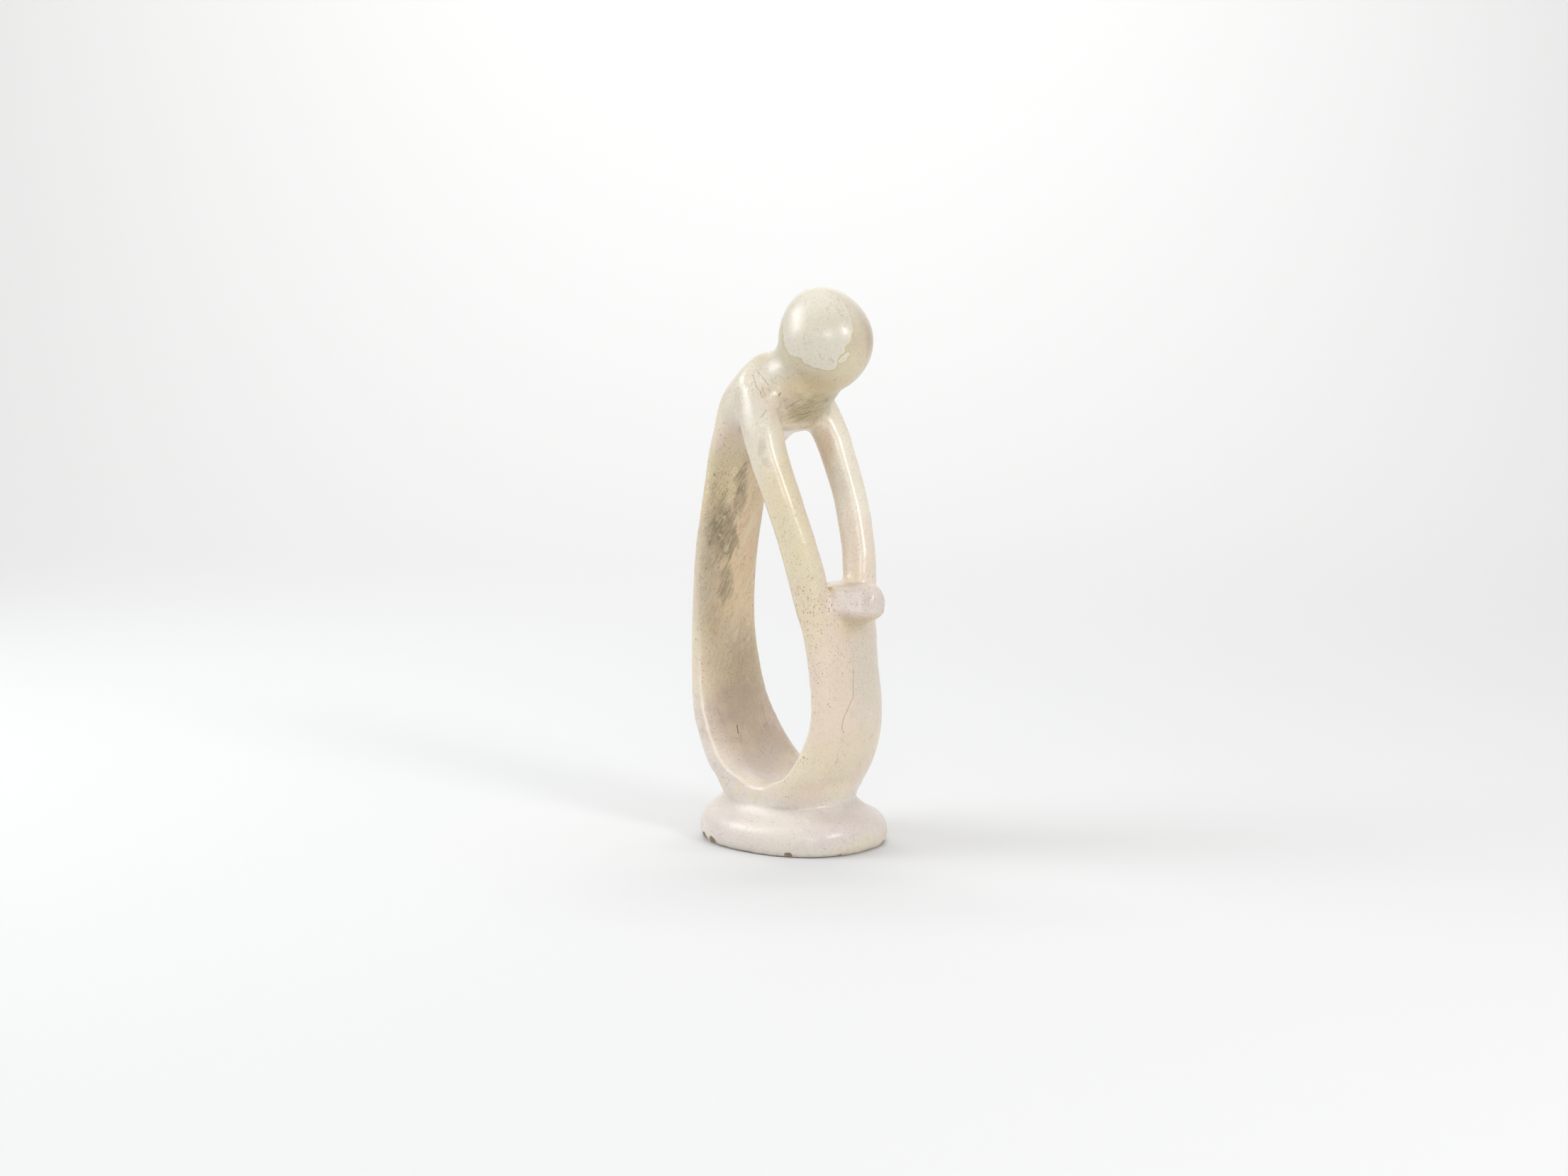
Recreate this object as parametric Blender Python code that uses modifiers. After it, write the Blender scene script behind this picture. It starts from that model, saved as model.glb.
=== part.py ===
"""Abstract soapstone figure: a bowed, faceless person whose back, seat and shins form one standing ring.

Metres, +Z up, and the figure faces -Y. The origin is the centre of the plinth's underside.
The whole piece is carved from one stone, so it is one solid. Each limb is lofted at its real size,
the limbs are fused on a fine grid, their joins are rubbed smooth and the underside is cut flat.
"""

import math

import bmesh
import bpy
import numpy as np
from mathutils import Vector

# Overall size, from the floor to the crown of the head
FIGURE_HEIGHT = 0.250

# Plinth: an oval foot, longest front to back, under a narrow waist
PLINTH_LENGTH = 0.088
PLINTH_WIDTH = 0.075
PLINTH_HEIGHT = 0.021
WAIST_LENGTH = 0.067
WAIST_WIDTH = 0.050
WAIST_SETBACK = 0.0024

# Ring: widths are across the figure, thicknesses are measured from the hole outwards.
# Its section is widest at the inner share of its thickness.
CHEST_WIDTH = 0.0535
CHEST_THICKNESS = 0.037
BACK_WIDTH = 0.0415
BACK_THICKNESS = 0.0120
SEAT_WIDTH = 0.054
SEAT_THICKNESS = 0.0140
SHIN_WIDTH = 0.0465
SHIN_THICKNESS = 0.0125
RING_INNER_SHARE = 0.4

# Arms, clasped hands, neck and head. The head's bow draws its crown and chin back from its middle,
# and its taper is the share of its girth that it loses at the crown.
SHOULDER_SPREAD = 0.050
WRIST_SPREAD = 0.038
RIGHT_ARM_THICKNESS = 0.0152
LEFT_ARM_THICKNESS = 0.0141
HAND_THICKNESS = 0.0190
HAND_REACH = 0.0485
NECK_WIDTH = 0.030
NECK_DEPTH = 0.034
HEAD_WIDTH = 0.041
HEAD_DEPTH = 0.043
HEAD_LENGTH = 0.048
HEAD_BOW = 0.0033
HEAD_TAPER = 0.06

# How finely the limbs are drawn before they are fused
LOFT_SIDES = 40
STEPS_PER_SPAN = 5
HEAD_SIDES = 48
HEAD_RINGS = 32
FLOOR_ALLOWANCE = 0.006

# How the fused stone is rubbed: a crease is filled until its hollow is this shallow between grid points
CARVING_GRID = 0.0010
RUBBING_PASSES = 6
CREASE_PASSES = 180
HOLLOW_LEFT = 0.00001
SOLID_TRIANGLES = 9000

STONE_COLOUR = (0.66, 0.60, 0.50, 1.0)
STONE_ROUGHNESS = 0.35

BODY_HEIGHT = FIGURE_HEIGHT - PLINTH_HEIGHT
ACROSS = Vector((1, 0, 0))
ROUND = (2, 2)
ARM_EDGES = (2.5, 2.5)


def clear_scene():
    for obj in list(bpy.data.objects):
        bpy.data.objects.remove(obj, do_unlink=True)


def place(back, up, across=0.0):
    """A point given by shares of the body's height: back from the plinth's centre, and up from its top."""
    return Vector((across, back * BODY_HEIGHT, PLINTH_HEIGHT + up * BODY_HEIGHT))


def smooth_run(rows, steps):
    """A Catmull-Rom run through rows of numbers, with this many samples in each span."""
    padded = [rows[0], *rows, rows[-1]]
    samples = []
    for before, start, end, after in zip(padded, padded[1:], padded[2:], padded[3:]):
        for step in range(steps):
            t = step / steps
            samples.append([
                0.5 * (2 * b + (c - a) * t + (2 * a - 5 * b + 4 * c - d) * t ** 2
                       + (3 * b - a - 3 * c + d) * t ** 3)
                for a, b, c, d in zip(before, start, end, after)
            ])
    return [*samples, list(rows[-1])]


def unit_section(angle, edges):
    """A point of a rounded unit section. Edge numbers above 2 square its inner and outer half off."""
    c, s = math.cos(angle), math.sin(angle)
    power = 2 / (edges[0] if s > 0 else edges[1])
    return math.copysign(abs(c) ** power, c), math.copysign(abs(s) ** power, s)


def add_loft(stone, stations):
    """Adds a closed limb through its stations, each (centre, half width, inner half, outer half, edges)."""
    loops = []
    for index, (centre, half, inner, outer, edges) in enumerate(stations):
        is_end = index in (0, len(stations) - 1)
        verts = bmesh.ops.create_circle(stone, cap_ends=is_end, segments=LOFT_SIDES, radius=1)["verts"]
        for side, vert in enumerate(verts):
            u, v = unit_section(2 * math.pi * side / LOFT_SIDES, edges)
            vert.co = centre + half * u + (inner if v > 0 else outer) * abs(v)
        loops.append(list({edge for vert in verts for edge in vert.link_edges}))
    for lower, upper in zip(loops, loops[1:]):
        bmesh.ops.bridge_loops(stone, edges=lower + upper)


def add_ring(stone):
    """The ring in the figure's middle plane: chest, back, seat and shins, given by its inner surface."""
    rows = [
        # back, up, width, thickness, inner edge, outer edge
        (-0.031, 0.730, 0.72 * CHEST_WIDTH, 0.36 * CHEST_THICKNESS, 2.0, 2.0),
        (-0.019, 0.722, 0.88 * CHEST_WIDTH, 0.62 * CHEST_THICKNESS, 2.2, 2.0),
        (0.016, 0.716, CHEST_WIDTH, 1.02 * CHEST_THICKNESS, 2.4, 2.2),
        (0.056, 0.707, CHEST_WIDTH, 0.80 * CHEST_THICKNESS, 2.6, 2.3),
        (0.088, 0.687, 0.92 * CHEST_WIDTH, 0.46 * CHEST_THICKNESS, 2.6, 2.1),
        (0.108, 0.657, 1.04 * BACK_WIDTH, 1.20 * BACK_THICKNESS, 2.5, 2.1),
        (0.120, 0.622, BACK_WIDTH, 1.08 * BACK_THICKNESS, 2.5, 2.1),
        (0.128, 0.585, 1.01 * BACK_WIDTH, 1.04 * BACK_THICKNESS, 2.5, 2.1),
        (0.151, 0.454, BACK_WIDTH, BACK_THICKNESS, 2.6, 2.2),
        (0.159, 0.323, BACK_WIDTH, BACK_THICKNESS, 2.8, 2.2),
        (0.147, 0.197, 0.87 * SEAT_WIDTH, 0.93 * SEAT_THICKNESS, 3.4, 2.2),
        (0.126, 0.137, 0.94 * SEAT_WIDTH, SEAT_THICKNESS, 4.0, 2.2),
        (0.088, 0.077, SEAT_WIDTH, 1.12 * SEAT_THICKNESS, 4.5, 2.1),
        (0.045, 0.041, SEAT_WIDTH, 1.20 * SEAT_THICKNESS, 5.0, 2.1),
        (0.002, 0.030, SEAT_WIDTH, 1.20 * SEAT_THICKNESS, 5.0, 2.1),
        (-0.038, 0.041, SEAT_WIDTH, 1.20 * SEAT_THICKNESS, 5.0, 2.1),
        (-0.074, 0.074, 0.98 * SEAT_WIDTH, 1.12 * SEAT_THICKNESS, 4.5, 2.1),
        (-0.1005, 0.125, 1.06 * SHIN_WIDTH, SEAT_THICKNESS, 4.0, 2.3),
        (-0.1115, 0.179, SHIN_WIDTH, 1.05 * SHIN_THICKNESS, 3.2, 2.3),
        (-0.104, 0.258, SHIN_WIDTH, SHIN_THICKNESS, 2.6, 2.3),
        (-0.0945, 0.323, 1.08 * SHIN_WIDTH, SHIN_THICKNESS, 2.4, 2.3),
        (-0.0815, 0.385, 1.12 * SHIN_WIDTH, 0.98 * SHIN_THICKNESS, 2.3, 2.5),
        (-0.075, 0.415, 1.02 * SHIN_WIDTH, 0.76 * SHIN_THICKNESS, 2.2, 2.3),
        (-0.077, 0.430, 0.92 * SHIN_WIDTH, 0.40 * SHIN_THICKNESS, 2.0, 2.0),
    ]
    samples = smooth_run(rows, STEPS_PER_SPAN)
    points = [place(row[0], row[1]) for row in samples]
    stations = []
    for index, (point, row) in enumerate(zip(points, samples)):
        ahead = points[min(index + 1, len(points) - 1)] - points[max(index - 1, 0)]
        inwards = ahead.cross(ACROSS).normalized()
        width, thickness, inner_edge, outer_edge = row[2:]
        inner = inwards * thickness * RING_INNER_SHARE
        outer = -inwards * thickness * (1 - RING_INNER_SHARE)
        stations.append((point - inner, ACROSS * width / 2, inner, outer, (inner_edge, outer_edge)))
    add_loft(stone, stations)


def add_tube(stone, points, sizes, edges=ROUND):
    """A limb along points, with its width and depth at each. It is round unless its edges say otherwise."""
    stations = []
    for index, (point, (width, depth)) in enumerate(zip(points, sizes)):
        ahead = points[min(index + 1, len(points) - 1)] - points[max(index - 1, 0)]
        side = (ACROSS - ahead * ACROSS.dot(ahead) / ahead.length_squared).normalized()
        inwards = ahead.cross(side).normalized()
        stations.append((point, side * width / 2, inwards * depth / 2, -inwards * depth / 2, edges))
    add_loft(stone, stations)


def add_arm(stone, side, thickness):
    """An arm from deep in the shoulder to the wrist. The two run together as they come down."""
    rows = [
        # share of the spread from wrist to shoulder, back, up, thickness in arm thicknesses
        (0.00, 0.045, 0.788, 1.00),
        (0.25, 0.026, 0.784, 1.10),
        (0.60, 0.006, 0.752, 1.12),
        (0.92, -0.012, 0.710, 1.08),
        (1.00, -0.029, 0.665, 1.03),
        (0.88, -0.059, 0.590, 1.00),
        (0.47, -0.087, 0.500, 1.00),
        (0.08, -0.100, 0.440, 1.02),
        (-0.28, -0.108, 0.385, 0.96),
        (-0.50, -0.114, 0.340, 0.80),
        (-0.66, -0.121, 0.290, 0.50),
    ]
    samples = smooth_run(rows, STEPS_PER_SPAN)
    points = []
    for spread, back, up, _ in samples:
        apart = WRIST_SPREAD + spread * (SHOULDER_SPREAD - WRIST_SPREAD)
        points.append(place(back, up, side * apart / 2))
    add_tube(stone, points, [(row[3] * thickness, row[3] * thickness) for row in samples], ARM_EDGES)


def add_hands(stone):
    """The clasped hands: a blunt round peg that points forwards from the top of the shins."""
    rows = [
        # share of the reach, height, thickness in hand thicknesses
        (0.40, 0.380, 0.80),
        (0.60, 0.388, 1.00),
        (0.80, 0.393, 0.97),
        (0.93, 0.396, 0.80),
        (0.985, 0.397, 0.50),
        (1.00, 0.397, 0.15),
    ]
    samples = smooth_run(rows, STEPS_PER_SPAN)
    points = [Vector((0, -share * HAND_REACH, place(0, up).z)) for share, up, _ in samples]
    add_tube(stone, points, [(row[2] * HAND_THICKNESS, row[2] * HAND_THICKNESS) for row in samples])


def add_yoke(stone):
    """The shoulders: one rounded bar across the chest, which the arms and the neck run out of."""
    rows = [
        # share of half the spread, back, up, thickness in neck depths
        (-1.00, 0.014, 0.769, 0.48),
        (-0.60, 0.022, 0.796, 0.70),
        (0.00, 0.018, 0.806, 0.84),
        (0.60, 0.022, 0.796, 0.70),
        (1.00, 0.014, 0.769, 0.48),
    ]
    stations = []
    for share, back, up, thickness in smooth_run(rows, STEPS_PER_SPAN):
        radius = thickness * NECK_DEPTH / 2
        centre = place(back, up, share * SHOULDER_SPREAD / 2)
        rise = Vector((0, 0, radius))
        stations.append((centre, Vector((0, radius, 0)), rise, -rise, ROUND))
    add_loft(stone, stations)


def add_neck(stone):
    """A short thick neck from the shoulders forwards and up into the head."""
    rows = [
        # back, up, share of the neck's width, share of its depth
        (0.022, 0.770, 1.35, 0.85),
        (-0.006, 0.808, 1.30, 1.00),
        (-0.040, 0.845, 1.12, 1.02),
        (-0.076, 0.895, 1.10, 1.10),
    ]
    samples = smooth_run(rows, STEPS_PER_SPAN)
    points = [place(row[0], row[1]) for row in samples]
    add_tube(stone, points, [(row[2] * NECK_WIDTH, row[3] * NECK_DEPTH) for row in samples])


def add_head(stone):
    """A smooth egg with no face, bowed so that its crown and chin are drawn back from its middle."""
    centre = Vector((0, -0.079 * BODY_HEIGHT, FIGURE_HEIGHT - HEAD_LENGTH / 2))
    egg = bmesh.ops.create_uvsphere(stone, u_segments=HEAD_SIDES, v_segments=HEAD_RINGS, radius=1)["verts"]
    for vert in egg:
        narrowing = 1 - HEAD_TAPER * max(0.0, vert.co.z) ** 2
        set_back = HEAD_BOW * vert.co.z ** 2
        vert.co = centre + Vector((
            vert.co.x * narrowing * HEAD_WIDTH / 2,
            vert.co.y * narrowing * HEAD_DEPTH / 2 + set_back,
            vert.co.z * HEAD_LENGTH / 2,
        ))


def add_plinth(stone):
    """The oval foot and the waist above it, carried a little below the floor for the flat cut."""
    rows = [
        # height, length, width, set back
        (-FLOOR_ALLOWANCE, 0.97 * PLINTH_LENGTH, 0.97 * PLINTH_WIDTH, 0),
        (0.00, 0.985 * PLINTH_LENGTH, 0.985 * PLINTH_WIDTH, 0),
        (0.28 * PLINTH_HEIGHT, PLINTH_LENGTH, PLINTH_WIDTH, 0),
        (0.52 * PLINTH_HEIGHT, 0.975 * PLINTH_LENGTH, 0.96 * PLINTH_WIDTH, 0.2 * WAIST_SETBACK),
        (0.66 * PLINTH_HEIGHT, 0.92 * PLINTH_LENGTH, 0.865 * PLINTH_WIDTH, 0.5 * WAIST_SETBACK),
        (0.78 * PLINTH_HEIGHT, 1.07 * WAIST_LENGTH, 1.09 * WAIST_WIDTH, 0.8 * WAIST_SETBACK),
        (0.88 * PLINTH_HEIGHT, 0.97 * WAIST_LENGTH, 0.97 * WAIST_WIDTH, WAIST_SETBACK),
        (PLINTH_HEIGHT, 0.96 * WAIST_LENGTH, 0.98 * WAIST_WIDTH, WAIST_SETBACK),
        (1.12 * PLINTH_HEIGHT, 0.97 * WAIST_LENGTH, 1.03 * WAIST_WIDTH, WAIST_SETBACK),
        (1.27 * PLINTH_HEIGHT, 0.98 * WAIST_LENGTH, 1.075 * WAIST_WIDTH, WAIST_SETBACK),
    ]
    stations = []
    for height, length, width, setback in smooth_run(rows, STEPS_PER_SPAN):
        half = Vector((0, length / 2, 0))
        stations.append((Vector((0, setback, height)), ACROSS * width / 2, half, -half, (2.2, 2.2)))
    add_loft(stone, stations)


def smoothed_copy(limbs):
    """The limbs fused into one closed skin on a fine grid, with every join rubbed to a fillet."""
    fuse = limbs.modifiers.new("Fuse", "REMESH")
    fuse.mode = "VOXEL"
    fuse.voxel_size = CARVING_GRID
    rub = limbs.modifiers.new("Rub smooth", "SMOOTH")
    rub.factor = 0.5
    rub.iterations = RUBBING_PASSES
    bpy.context.view_layer.update()
    return bpy.data.meshes.new_from_object(limbs.evaluated_get(bpy.context.evaluated_depsgraph_get()))


def fill_creases(mesh):
    """Rubs the joins of the limbs to wide fillets: only points in tight hollows move, and only outwards."""
    count = len(mesh.vertices)
    points = np.empty(3 * count, np.float32)
    mesh.vertices.foreach_get("co", points)
    points = points.reshape(-1, 3).astype(float)
    normals = np.empty(3 * count, np.float32)
    ends = np.empty(2 * len(mesh.edges), np.int32)
    mesh.edges.foreach_get("vertices", ends)
    first, second = ends.reshape(-1, 2).T
    neighbours = np.bincount(ends, minlength=count)
    for _ in range(CREASE_PASSES):
        mesh.vertex_normals.foreach_get("vector", normals)
        outwards = normals.reshape(-1, 3)
        hollow = np.zeros(count)
        for axis in range(3):
            total = np.bincount(first, points[second, axis], count)
            total += np.bincount(second, points[first, axis], count)
            hollow += (total / neighbours - points[:, axis]) * outwards[:, axis]
        points += outwards * np.maximum(0, hollow - HOLLOW_LEFT)[:, None]
        mesh.vertices.foreach_set("co", points.astype(np.float32).ravel())
        mesh.update()


def cut_flat(mesh):
    """Cuts the stone off level at the floor and closes the cut with one flat face."""
    stone = bmesh.new()
    stone.from_mesh(mesh)
    everything = stone.verts[:] + stone.edges[:] + stone.faces[:]
    cut = bmesh.ops.bisect_plane(stone, geom=everything, plane_no=(0, 0, 1), clear_inner=True)
    rim = [item for item in cut["geom_cut"] if isinstance(item, bmesh.types.BMEdge)]
    bmesh.ops.contextual_create(stone, geom=rim)
    bmesh.ops.recalc_face_normals(stone, faces=stone.faces)
    stone.to_mesh(mesh)
    stone.free()


def stone_material():
    material = bpy.data.materials.new("soapstone")
    material.use_nodes = True
    shader = material.node_tree.nodes["Principled BSDF"]
    shader.inputs["Base Color"].default_value = STONE_COLOUR
    shader.inputs["Roughness"].default_value = STONE_ROUGHNESS
    shader.inputs["Metallic"].default_value = 0.0
    return material


def make_figure():
    clear_scene()
    stone = bmesh.new()
    add_plinth(stone)
    add_ring(stone)
    add_arm(stone, -1, RIGHT_ARM_THICKNESS)
    add_arm(stone, 1, LEFT_ARM_THICKNESS)
    add_hands(stone)
    add_yoke(stone)
    add_neck(stone)
    add_head(stone)
    bmesh.ops.recalc_face_normals(stone, faces=stone.faces)
    rough = bpy.data.meshes.new("limbs")
    stone.to_mesh(rough)
    stone.free()

    collection = bpy.data.collections.new("abstract_figure")
    bpy.context.scene.collection.children.link(collection)
    limbs = bpy.data.objects.new("limbs", rough)
    collection.objects.link(limbs)
    skin = smoothed_copy(limbs)
    bpy.data.objects.remove(limbs)
    fill_creases(skin)
    cut_flat(skin)

    figure = bpy.data.objects.new("figure", skin)
    collection.objects.link(figure)
    skin.materials.clear()
    skin.materials.append(stone_material())
    skin.shade_smooth()
    thin = figure.modifiers.new("Thin out", "DECIMATE")
    skin.calc_loop_triangles()
    thin.ratio = min(1.0, SOLID_TRIANGLES / len(skin.loop_triangles))
    thin.use_collapse_triangulate = True


make_figure()
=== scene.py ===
# %% [markdown]
# A small soapstone carving: a bowed figure without a face, whose back, seat and shins make one
# standing ring. The part's solid has the right shape and size, but it is a plain faceted body.
# This lesson gives it the skin of a hand-rubbed stone: first a fine mesh, then what the chisel and
# the years left in it, then the colours that cloud the stone, and last the light.

import math
import random

import bmesh
import bpy
import numpy as np
from mathutils import Matrix, Vector, kdtree, noise


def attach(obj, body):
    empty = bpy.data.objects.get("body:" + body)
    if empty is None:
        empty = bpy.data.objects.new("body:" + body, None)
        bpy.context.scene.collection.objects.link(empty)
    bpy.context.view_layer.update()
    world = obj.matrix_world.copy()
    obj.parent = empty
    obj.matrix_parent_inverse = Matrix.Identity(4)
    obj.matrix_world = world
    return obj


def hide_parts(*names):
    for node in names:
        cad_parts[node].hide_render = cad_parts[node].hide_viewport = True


MM = 0.001
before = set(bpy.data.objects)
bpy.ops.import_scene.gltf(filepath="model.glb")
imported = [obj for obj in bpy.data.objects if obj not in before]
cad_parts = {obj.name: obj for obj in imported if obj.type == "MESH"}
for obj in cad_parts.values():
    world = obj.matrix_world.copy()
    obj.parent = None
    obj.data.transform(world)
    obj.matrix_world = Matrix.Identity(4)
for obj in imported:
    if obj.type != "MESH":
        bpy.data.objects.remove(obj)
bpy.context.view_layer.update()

# %% [markdown]
# The camera stands to the right of the figure and in front of it, at about the height of its hands,
# and looks slightly down. A long lens keeps the ring's two sides almost parallel. A new camera looks
# straight down, so it is tipped up first and then turned round the vertical.

# %% The camera
HEADING = math.radians(51.73)
LOOK_DOWN = math.radians(6.198)
CAMERA_PLACE = Vector((-0.7092, -0.5541, 0.2128))
LENS_MM = 45.91

camera_data = bpy.data.cameras.new("camera")
camera_data.lens = LENS_MM
camera_data.sensor_width = 36
camera_data.clip_start = 0.01
camera = bpy.data.objects.new("camera", camera_data)
bpy.context.scene.collection.objects.link(camera)
camera.location = CAMERA_PLACE
camera.rotation_euler = (math.pi / 2 - LOOK_DOWN, 0, -HEADING)
bpy.context.scene.camera = camera
print("the lens is", LENS_MM, "mm on a 36 mm sensor")

# %% [markdown]
# The solid has flat facets about two millimetres wide, which a polished surface would show in every
# highlight. A subdivision surface would keep them as ripples, because they are loose triangles of
# unlike sizes. So the stone is wrapped again in an even grid, and the grid is rubbed with two
# opposite strokes: the first takes the facets off and shrinks the form, and the second swells it
# back by as much, so the carving keeps its size.

# %% The stone's skin
GRID = 1.25 * MM
WELD = 0.001 * MM
FACET_ROUNDS = 22
SPLIT_ROUNDS = 3
STROKES = (0.5, -0.53)


def rub(stone, verts, rounds, strokes=STROKES):
    """Smooths these points, with the strokes in turn, this many times."""
    axes = {"use_axis_x": True, "use_axis_y": True, "use_axis_z": True}
    for _ in range(rounds):
        for stroke in strokes:
            bmesh.ops.smooth_vert(stone, verts=verts, factor=stroke, **axes)


stone = bmesh.new()
stone.from_mesh(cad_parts["figure"].data)
bmesh.ops.remove_doubles(stone, verts=stone.verts, dist=WELD)
cage_mesh = bpy.data.meshes.new("figure_cage")
stone.to_mesh(cage_mesh)
stone.free()

cage = bpy.data.objects.new("figure_cage", cage_mesh)
bpy.context.scene.collection.objects.link(cage)
wrap = cage.modifiers.new("Even grid", "REMESH")
wrap.mode = "VOXEL"
wrap.voxel_size = GRID
bpy.context.view_layer.update()
wrapped = cage.evaluated_get(bpy.context.evaluated_depsgraph_get())
skin = bpy.data.meshes.new_from_object(wrapped)
bpy.data.objects.remove(cage)
bpy.data.meshes.remove(cage_mesh)

stone = bmesh.new()
stone.from_mesh(skin)
rub(stone, stone.verts, FACET_ROUNDS)
stone.normal_update()
print("the even skin has", len(stone.faces), "faces")

# %% [markdown]
# Rubbing also rounds the rim of the hole, which the carver left crisp at the bottom of the ring. A
# rounded edge is a piece of a tube, and a point of it has to move out to reach the two flat faces
# again. How far follows from its normal alone: along a face it is nothing, and half way round, where
# the normal leans as much to one face as to the other, it is 0.41 of the tube's radius.

# %% The crisp rim
RIM_RADIUS = 1.9 * MM
RIM_BOTTOM = (24 * MM, 29 * MM)
RIM_TOP = (62 * MM, 112 * MM)
HOLE_MIDDLE = Vector((0, 1, 62)) * MM
RIM_LINE_SPREAD = 0.25
LEAST_LEAN = 0.02
ROUNDED = 0.75


def ramp(value, low, high):
    """0 below low, 1 above high, and a smooth curve between them."""
    share = min(1.0, max(0.0, (value - low) / (high - low)))
    return share * share * (3 - 2 * share)


def rim_share(vert):
    """The share of the rim's shape that applies here, and how the normal leans to hole and side."""
    middle = HOLE_MIDDLE.copy()
    middle.z = max(middle.z, vert.co.z)
    inward = middle - vert.co
    inward.x = 0
    to_hole = vert.normal.dot(inward.normalized())
    to_side = abs(vert.normal.x)
    here = ramp(vert.co.z, *RIM_BOTTOM) * (1 - ramp(vert.co.z, *RIM_TOP))
    return here if min(to_hole, to_side) > LEAST_LEAN else 0.0, to_hole, to_side


def on_edge(vert):
    """Whether this point lies on the rounded edge between the hole and the side."""
    here, to_hole, to_side = rim_share(vert)
    return here > 0.05 and abs(to_hole - to_side) < ROUNDED


rim_edges = [edge for edge in stone.edges if on_edge(edge.verts[0]) or on_edge(edge.verts[1])]
split = bmesh.ops.subdivide_edges(stone, edges=rim_edges, cuts=1, use_grid_fill=True)
rub(stone, [item for item in split["geom"] if isinstance(item, bmesh.types.BMVert)], SPLIT_ROUNDS)
stone.normal_update()

# The rim's crest also gets a pale line in its colour: partly wear, partly a painted highlight.
rim_wear_and_highlight = stone.verts.layers.float.new("rim_wear_and_highlight")
moves = []
for vert in stone.verts:
    here, to_hole, to_side = rim_share(vert)
    leans = max(to_hole, to_side)
    if here > 0 and leans > 0.5:
        moves.append((vert, vert.normal * RIM_RADIUS * (1 / leans - 1) * here))
        vert[rim_wear_and_highlight] = here * math.exp(-((to_hole - to_side) / RIM_LINE_SPREAD) ** 2)
for vert, move in moves:
    vert.co += move
stone.normal_update()
print(len(moves), "points make up the rim")

# %% [markdown]
# The foot is reshaped with a few rules on height and direction. The ring meets the plinth in a crease
# instead of a hollow, the plinth's top starts with a slight shoulder, and its lower edge is rubbed
# round a little more on some sides than on others. On the near side the bowl's rim stands a little
# higher than the bowl's floor behind it. Each rule is a bell over the height: how much, where it is
# greatest, and how far it reaches.

# %% The foot
FOOT_TOP = 42
HOLLOW_DROP = (2.4, 23.4, 3.3)
RIM_RISE = (2.4, 27.5, 4.6)
RIM_SIDE = (8, 20)
RIM_LENGTH = (2, 27)
CREASE = (0.024, 21.4, 2.3)
SHOULDER = (0.016, 17.0, 1.7)
SHOULDER_WAVES = 9
EDGE_HEIGHT = 4.0
EDGE_CURVE = 1.6

# Where the lower edge is rubbed away: degrees round from +X, width in degrees, and share of the radius
TUCKS = [(168, 40, 0.03), (-97, 24, 0.02), (75, 40, 0.03), (20, 30, 0.02)]


def bell(value, centre, width):
    """1 at the centre, and fading on both sides over the width."""
    return math.exp(-((value - centre) / width) ** 2)


def swell(height, amount, centre, width):
    return amount * bell(height, centre, width)


for vert in stone.verts:
    x, y, z = vert.co / MM
    if z > FOOT_TOP:
        continue
    z -= swell(z, *HOLLOW_DROP)
    z += swell(z, *RIM_RISE) * ramp(-x, *RIM_SIDE) * bell(y, *RIM_LENGTH)
    direction = math.degrees(math.atan2(y, x))
    uneven = 0.5 + noise.noise(Vector((x, y, 0)) / SHOULDER_WAVES)
    spread = 1 - swell(z, *CREASE) + swell(z, *SHOULDER) * uneven
    tuck = 0.0
    for towards, width, depth in TUCKS:
        tuck += depth * bell((direction - towards + 180) % 360 - 180, 0, width)
    spread -= tuck * max(0.0, 1 - z / EDGE_HEIGHT) ** EDGE_CURVE
    vert.co = Vector((x * spread, y * spread, z)) * MM
stone.normal_update()
print("the crease is", CREASE[1], "mm above the floor")

# %% [markdown]
# The clasped hands are one rounded bar that points forward. The solid's bar has upright, almost
# parallel cheeks. The carver filed a broad flat along each instead, from the wrist to the tip, that
# faces forward and slightly up and catches the light. Points near the flat move onto its plane, and
# the corner where the flat meets the forearm is rubbed smooth.

# %% The hands
FLAT_MIDDLE = Vector((-10.3, -37.9, 111.8))
FLAT_FACING = Vector((-0.82, -0.52, 0.24)).normalized()
FLAT_REACH = (12.0, 7.5)
FLAT_SOFTNESS = 0.7
FLAT_LEAN = (0.1, 0.6)
HANDS_FRONT = -24
HANDS_HEIGHT = (100, 122)
CORNER = Vector((-13.0, -30.4, 117.0))
CORNER_REACH = 5.0
CORNER_ROUNDS = 6

flat_way = Vector((-FLAT_FACING.y, FLAT_FACING.x, 0)).normalized()
corner = []
for vert in stone.verts:
    place, facing = vert.co / MM, vert.normal.copy()
    if place.y > HANDS_FRONT or not HANDS_HEIGHT[0] < place.z < HANDS_HEIGHT[1]:
        continue
    side = -1 if place.x < 0 else 1
    place.x *= -side
    facing.x *= -side
    if (place - CORNER).length < CORNER_REACH:
        corner.append(vert)
    away = place - FLAT_MIDDLE
    along_flat = flat_way.dot(away) / FLAT_REACH[0]
    up_flat = away.z / FLAT_REACH[1]
    share = ramp(1 - along_flat ** 2, 0, FLAT_SOFTNESS) * ramp(1 - up_flat ** 2, 0, FLAT_SOFTNESS)
    share *= ramp(facing.dot(FLAT_FACING), *FLAT_LEAN)
    place -= FLAT_FACING * away.dot(FLAT_FACING) * share
    vert.co = Vector((-side * place.x, place.y, place.z)) * MM
rub(stone, corner, CORNER_ROUNDS, STROKES[:1])
stone.normal_update()
print(len(corner), "points are rubbed smooth beside the hands")

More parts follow.
